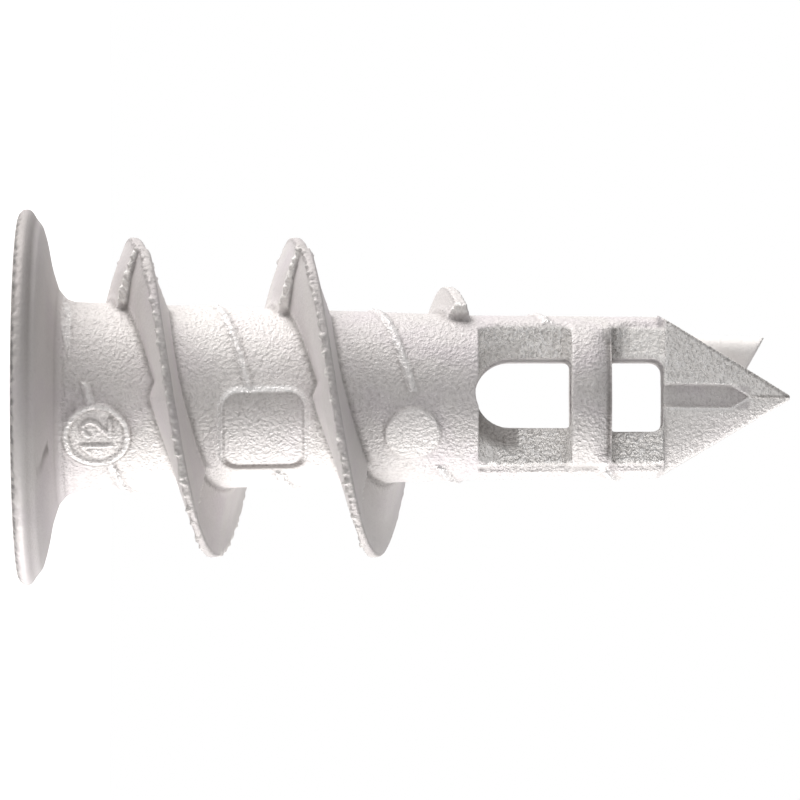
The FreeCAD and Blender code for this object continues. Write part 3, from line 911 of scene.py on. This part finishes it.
def cast_attributes(cast, zones, sizes):
    """Shares from 0 to 1 that the material reads at each point."""
    x, y, z = cast.points.T
    outlines = pad_outlines(cast, sizes)
    # painted shade round the first window's nose and before the bar
    window = window_shade(cast, zones, sizes)
    zones.corner = flat_corners(cast, sizes) * lower_half(x, y) * zones.pocket

    bend = skin_bend(cast)
    near_pads = smooth_step(0.4, 0.2, np.minimum(outlines.square.distance, outlines.plain.distance))
    unshaded = np.maximum.reduce([
        0.75 * zones.near_rib, zones.bead, 0.8 * zones.flash, 0.7 * zones.pocket, 0.85 * near_pads,
        0.8 * smooth_step(-0.1, 0.05, z - sizes.shoulder_height),
    ])
    # painted shade in hollows: concave places are darkened, less so near ribs, steps, flash, pockets, pads
    # and the tip
    hollow = cast.averaged(np.clip(bend / 0.035, 0, 1) * (1 - unshaded), 2)
    # painted highlight on convex edges
    edge_highlight = cast.averaged(np.clip(-bend / 0.05, 0, 1), 1) * (1 - np.maximum(zones.crest, zones.flash))
    # painted highlights on edges, along the tip's groove, at the square pad and the ring, on the rib and in
    # the pockets' outer corners on the lower half
    edge = np.maximum.reduce([
        edge_highlight, groove_highlight(cast, sizes) * zones.tip, pad_highlight(outlines), 4 * zones.rib, 3 * zones.corner,
    ])
    # painted shade and painted shadow at the pads, round the window's nose and past the bar, on tip, flange,
    # rim, crest and bar, round the digits and at the rib's foot
    film = np.maximum.reduce([
        pad_shade(cast, sizes, outlines), window + part_shade(cast, zones, sizes), zones.digit_film,
        # painted shade at the foot of the rib's sides
        0.25 * zones.rib_foot,
    ])

    smooth = np.clip(zones.flange + zones.flank + zones.inside + 0.5 * zones.crest + zones.spur, 0, 1)
    sand = sand_share(cast, zones, sizes, outlines, window)
    grain = cast.averaged((1 - smooth) * (1 - sand), 2)
    burr_patches = np.sign(lumps(cast.points, 0.2, BURR_SEED))
    return {
        "grain": grain + 0.2 * smooth,
        "sand": cast.averaged(sand, 2),
        # painted light
        "pale": cast.averaged(np.clip(painted_light_share(cast, zones, outlines), 0, 1), 2),
        # painted shade in hollows and in the flange's crease
        "hollow": np.clip(hollow + 0.8 * zones.creased, 0, 1),
        "edge": edge,
        "film": np.clip(film, 0, 1),
        "burr": zones.burr * (0.7 + 0.3 * burr_patches),
    }


def make_piece(name, cast, normal, attributes, chosen, material):
    """One band of the casting as its own mesh, shaded with the whole casting's normals."""
    used, quads = np.unique(cast.quads[chosen], return_inverse=True)
    quads = quads.reshape(-1, 4)
    if 2 * len(quads) > PIECE_TRIANGLES:
        raise RuntimeError(f"{name} has too many triangles: {2 * len(quads)}")
    mesh = bpy.data.meshes.new(name)
    mesh.vertices.add(len(used))
    mesh.vertices.foreach_set("co", (cast.points[used] * MM).astype(np.float32).ravel())
    mesh.loops.add(quads.size)
    mesh.loops.foreach_set("vertex_index", quads.astype(np.int32).ravel())
    mesh.polygons.add(len(quads))
    mesh.polygons.foreach_set("loop_start", np.arange(0, quads.size, 4, dtype=np.int32))
    mesh.update(calc_edges=True)
    mesh.shade_smooth()
    for label, values in attributes.items():
        layer = mesh.attributes.new(label, "FLOAT", "POINT")
        layer.data.foreach_set("value", values[used].astype(np.float32))
    mesh.normals_split_custom_set_from_vertices(normal[used].astype(np.float32))
    mesh.materials.append(material)
    piece = bpy.data.objects.new(name, mesh)
    bpy.context.scene.collection.objects.link(piece)
    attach(piece, "root")
    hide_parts(CAST_NODE)


class PLUG_OT_casting(bpy.types.Operator):
    """Builds the dressed casting in bands that stand for the CAD node"""
    bl_idname = "plug.casting"
    bl_label = "Casting"

    def execute(self, context):
        scene = context.scene
        sizes = millimetres(scene.cast_sizes)
        cast, zones = shape_cast(sizes, millimetres(scene.cast_relief))
        attributes = cast_attributes(cast, zones, sizes)
        normal = cast.normals()
        material = zinc_material(scene.zinc_finish)
        middle = cast.points[cast.quads, 2].mean(axis=1)
        start = -math.inf
        for name, end in BANDS.items():
            chosen = (middle >= start) & (middle < end)
            make_piece(name, cast, normal, attributes, chosen, material)
            start = end
        return {"FINISHED"}


# studio

def view_axes(studio):
    """Right, up and back of the photograph's view, and its centre on the plug."""
    right = Vector((0, 0, 1))
    up = Vector((math.cos(studio.frame_turn), math.sin(studio.frame_turn), 0))
    back = right.cross(up)
    centre = right * (studio.frame_low + studio.frame_width / 2) - up * studio.frame_drop
    return right, up, back, centre


def soft_lamp(name, studio, way, power, tint):
    """A round soft lamp that lies the given way from the middle of the plug."""
    middle = (CAD_LOW + CAD_HIGH) / 2
    lamp = bpy.data.lights.new(name, "AREA")
    lamp.shape = "DISK"
    lamp.size = studio.lamp_size
    lamp.energy = power
    lamp.color = tint
    holder = bpy.data.objects.new(name, lamp)
    holder.location = middle + way.normalized() * studio.lamp_distance
    holder.rotation_euler = (-way).to_track_quat("-Z", "Y").to_euler()
    bpy.context.scene.collection.objects.link(holder)


def floor_material():
    """Pale paper that keeps its shadows, and shows near white to the camera and in reflections."""
    material = bpy.data.materials.new("pale_floor")
    shader = Shader(material)
    paper = shader.node("ShaderNodeBsdfDiffuse", None, {"Color": PAPER})
    glow = shader.node("ShaderNodeEmission", None, {"Color": WHITE, "Strength": FLOOR_GLOW})
    lit = shader.node("ShaderNodeAddShader", None, {0: paper, 1: glow})
    surface = shader.node("ShaderNodeMixShader", None, {0: shader.background_rays(), 1: paper, 2: lit})
    shader.node("ShaderNodeOutputMaterial", None, {"Surface": surface})
    return material


def set_world(scene, studio):
    """A pale room that is darker overhead, and plain white to the camera and in reflections."""
    world = bpy.data.worlds.new("room")
    scene.world = world
    shader = Shader(world)
    way = shader.node("ShaderNodeTexCoord", output="Generated")
    above = shader.node("ShaderNodeSeparateXYZ", None, {0: way}, output="Z")
    strength = (1 - above.clamped() * studio.room_fall) * studio.world_strength
    room = shader.node("ShaderNodeBackground", None, {"Color": WHITE, "Strength": strength})
    white = shader.node("ShaderNodeBackground", None, {"Color": WHITE, "Strength": 1.0})
    mixed = shader.node("ShaderNodeMixShader", None, {0: shader.background_rays(), 1: room, 2: white})
    shader.node("ShaderNodeOutputWorld", None, {"Surface": mixed})


def set_camera(scene, studio, right, up, back, centre):
    """The camera at the photograph's viewing angle."""
    camera = bpy.data.cameras.new("camera")
    camera.lens = camera.sensor_width * studio.camera_distance / studio.frame_width
    camera.clip_start, camera.clip_end = CLIP_RANGE
    holder = bpy.data.objects.new("camera", camera)
    matrix = Matrix((right, up, back)).transposed().to_4x4()
    matrix.translation = centre + back * studio.camera_distance
    holder.matrix_world = matrix
    scene.collection.objects.link(holder)
    scene.camera = holder


def lay_floor(studio):
    """A round floor a hair below the head's face, that lets the lamps behind it shine through."""
    bpy.ops.mesh.primitive_circle_add(
        vertices=FLOOR_SIDES, radius=studio.floor_radius, fill_type="NGON",
        location=(0, 0, CAD_LOW.z - FLOOR_GAP),
    )
    floor = bpy.context.object
    floor.name = "floor"
    floor.data.materials.append(floor_material())
    floor.visible_shadow = False


class PLUG_OT_studio(bpy.types.Operator):
    """Sets the floor, the soft lamps, the pale room and the camera"""
    bl_idname = "plug.studio"
    bl_label = "Studio"

    def execute(self, context):
        scene = context.scene
        studio = scene.studio_set
        right, up, back, centre = view_axes(studio)
        set_camera(scene, studio, right, up, back, centre)
        lay_floor(studio)
        key_way = up - right * 0.38 - back * 0.12
        fill_way = -up - right * 0.05 - back * 0.1
        soft_lamp("key", studio, key_way, studio.key_power, studio.key_colour)
        soft_lamp("fill", studio, fill_way, studio.fill_power, studio.fill_colour)
        set_world(scene, studio)
        scene.view_settings.view_transform = "Standard"
        return {"FINISHED"}


class PLUG_PT_panel(bpy.types.Panel):
    """Lists the steps that make the plug and its studio"""
    bl_idname = "PLUG_PT_panel"
    bl_label = "Plasterboard plug"
    bl_space_type = "VIEW_3D"
    bl_region_type = "UI"
    bl_category = "Plug"

    def draw(self, context):
        for group in GROUPS:
            settings = getattr(context.scene, group)
            box = self.layout.box()
            for name in settings.__annotations__:
                box.prop(settings, name)
        self.layout.operator("plug.casting")
        self.layout.operator("plug.studio")


GROUPS = {
    "cast_sizes": CastSizes,
    "cast_relief": CastRelief,
    "zinc_finish": ZincFinish,
    "studio_set": StudioSet,
}
CLASSES = [*GROUPS.values(), PLUG_OT_casting, PLUG_OT_studio, PLUG_PT_panel]


def register():
    for made in CLASSES:
        bpy.utils.register_class(made)
    for name, group in GROUPS.items():
        setattr(bpy.types.Scene, name, PointerProperty(type=group))


def unregister():
    for name in GROUPS:
        delattr(bpy.types.Scene, name)
    for made in reversed(CLASSES):
        bpy.utils.unregister_class(made)


def main():
    register()
    bpy.ops.plug.casting()
    bpy.ops.plug.studio()


if __name__ == "__main__":
    main()
